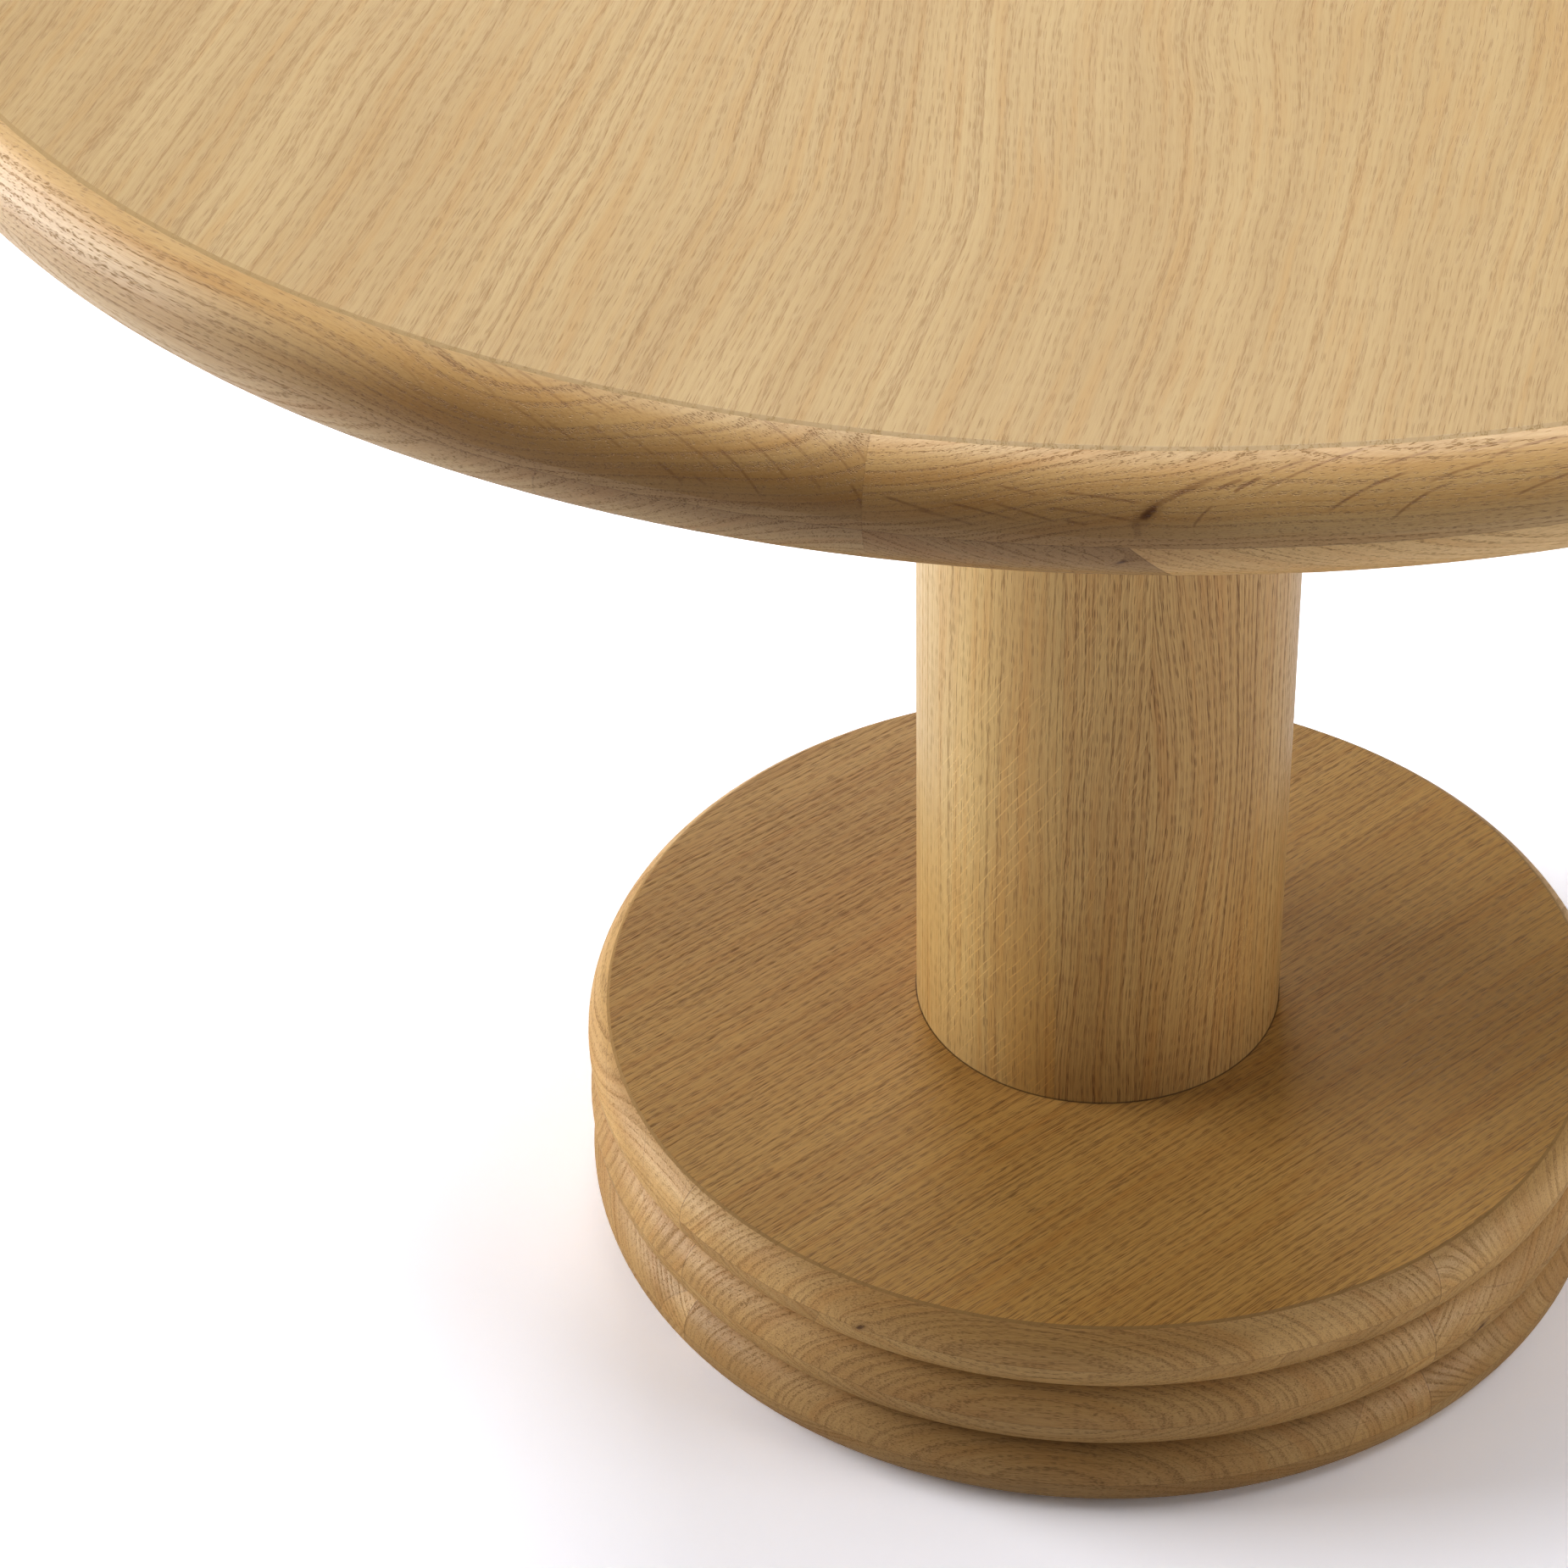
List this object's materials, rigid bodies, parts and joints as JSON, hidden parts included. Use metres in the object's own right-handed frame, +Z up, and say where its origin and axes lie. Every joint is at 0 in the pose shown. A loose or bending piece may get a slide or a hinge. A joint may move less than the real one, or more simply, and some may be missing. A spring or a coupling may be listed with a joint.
{
  "type": "round pedestal table",
  "caption": "Round dining table: a veneered disc top with a rounded solid-wood edge, on a plain round column and a base of stacked round-edged discs with levelling feet.",
  "frame": {"origin": "centre of the table's footprint, on the floor plane under the levelling feet", "axes": "+Z up along the column's axis; -Y is the side that the first joint of the top's edge faces"},
  "size_m": [1.05, 1.05, 0.76],
  "materials": {
    "oak_veneer_top": "matt lacquered oak veneer, straight grain",
    "oak_lipping": "matt lacquered solid oak, laminated segments",
    "oak_veneer_column": "matt lacquered oak veneer, straight grain",
    "oak_veneer_base": "matt lacquered oak veneer, straight grain",
    "oak_rim": "matt lacquered solid oak, laminated segments",
    "core_board": "raw blockboard",
    "plywood": "raw birch plywood",
    "beech": "raw beech dowel",
    "black_steel": "fine-textured black powder coat",
    "zinc_steel": "bright zinc plate",
    "brass": "plain machined brass",
    "nylon": "matt black nylon"
  },
  "bodies": {
    "table": {"top_core": "core_board", "top_face_veneer": "oak_veneer_top", "top_back_veneer": "oak_veneer_top", "top_lipping_1": "oak_lipping", "top_lipping_2": "oak_lipping", "top_lipping_3": "oak_lipping", "top_lipping_4": "oak_lipping", "top_lipping_5": "oak_lipping", "top_lipping_6": "oak_lipping", "top_edge_dowels": "beech", "top_plate": "black_steel", "plate_screws": "zinc_steel", "plate_inserts": "brass", "rod_boss": "black_steel", "column_staves": "plywood", "column_top_plug": "plywood", "column_bottom_plug": "plywood", "column_veneer_front": "oak_veneer_column", "column_veneer_right": "oak_veneer_column", "column_veneer_back_right": "oak_veneer_column", "column_veneer_back_left": "oak_veneer_column", "column_veneer_left": "oak_veneer_column", "tie_rod": "zinc_steel", "rod_washer": "zinc_steel", "rod_nut": "zinc_steel", "head_pins": "zinc_steel", "column_foot_dowels": "beech", "upper_disc_core": "core_board", "middle_disc_core": "core_board", "lower_disc_core": "core_board", "upper_rim_1": "oak_rim", "upper_rim_2": "oak_rim", "upper_rim_3": "oak_rim", "upper_rim_4": "oak_rim", "middle_rim_1": "oak_rim", "middle_rim_2": "oak_rim", "middle_rim_3": "oak_rim", "middle_rim_4": "oak_rim", "lower_rim_1": "oak_rim", "lower_rim_2": "oak_rim", "lower_rim_3": "oak_rim", "lower_rim_4": "oak_rim", "base_top_veneer": "oak_veneer_base", "base_rim_dowels": "beech", "ballast_plate": "black_steel", "ballast_screws": "zinc_steel", "stack_bolts": "zinc_steel", "stack_inserts": "brass", "foot_inserts": "zinc_steel"},
    "foot_1": {"foot_pad_1": "nylon"},
    "stem_1": {"foot_stem_1": "zinc_steel"},
    "foot_2": {"foot_pad_2": "nylon"},
    "stem_2": {"foot_stem_2": "zinc_steel"},
    "foot_3": {"foot_pad_3": "nylon"},
    "stem_3": {"foot_stem_3": "zinc_steel"},
    "foot_4": {"foot_pad_4": "nylon"},
    "stem_4": {"foot_stem_4": "zinc_steel"}
  },
  "joints": [
    {"name": "foot_1_height", "type": "slide", "parent": "table", "child": "foot_1", "axis": [0, 0, -1], "range_m": [0, 0.01]},
    {"name": "stem_1_screw", "type": "hinge", "parent": "foot_1", "child": "stem_1", "pos_m": [-0.13718, -0.13718, 0.005], "axis": [0, 0, -1], "range_deg": [0, 2880]},
    {"name": "foot_2_height", "type": "slide", "parent": "table", "child": "foot_2", "axis": [0, 0, -1], "range_m": [0, 0.01]},
    {"name": "stem_2_screw", "type": "hinge", "parent": "foot_2", "child": "stem_2", "pos_m": [0.13718, -0.13718, 0.005], "axis": [0, 0, -1], "range_deg": [0, 2880]},
    {"name": "foot_3_height", "type": "slide", "parent": "table", "child": "foot_3", "axis": [0, 0, -1], "range_m": [0, 0.01]},
    {"name": "stem_3_screw", "type": "hinge", "parent": "foot_3", "child": "stem_3", "pos_m": [0.13718, 0.13718, 0.005], "axis": [0, 0, -1], "range_deg": [0, 2880]},
    {"name": "foot_4_height", "type": "slide", "parent": "table", "child": "foot_4", "axis": [0, 0, -1], "range_m": [0, 0.01]},
    {"name": "stem_4_screw", "type": "hinge", "parent": "foot_4", "child": "stem_4", "pos_m": [-0.13718, 0.13718, 0.005], "axis": [0, 0, -1], "range_deg": [0, 2880]}
  ],
  "couplings": [
    {"joint": "stem_1_screw", "follows": "foot_1_height", "rad_per_m": 5026.5},
    {"joint": "stem_2_screw", "follows": "foot_2_height", "rad_per_m": 5026.5},
    {"joint": "stem_3_screw", "follows": "foot_3_height", "rad_per_m": 5026.5},
    {"joint": "stem_4_screw", "follows": "foot_4_height", "rad_per_m": 5026.5}
  ]
}
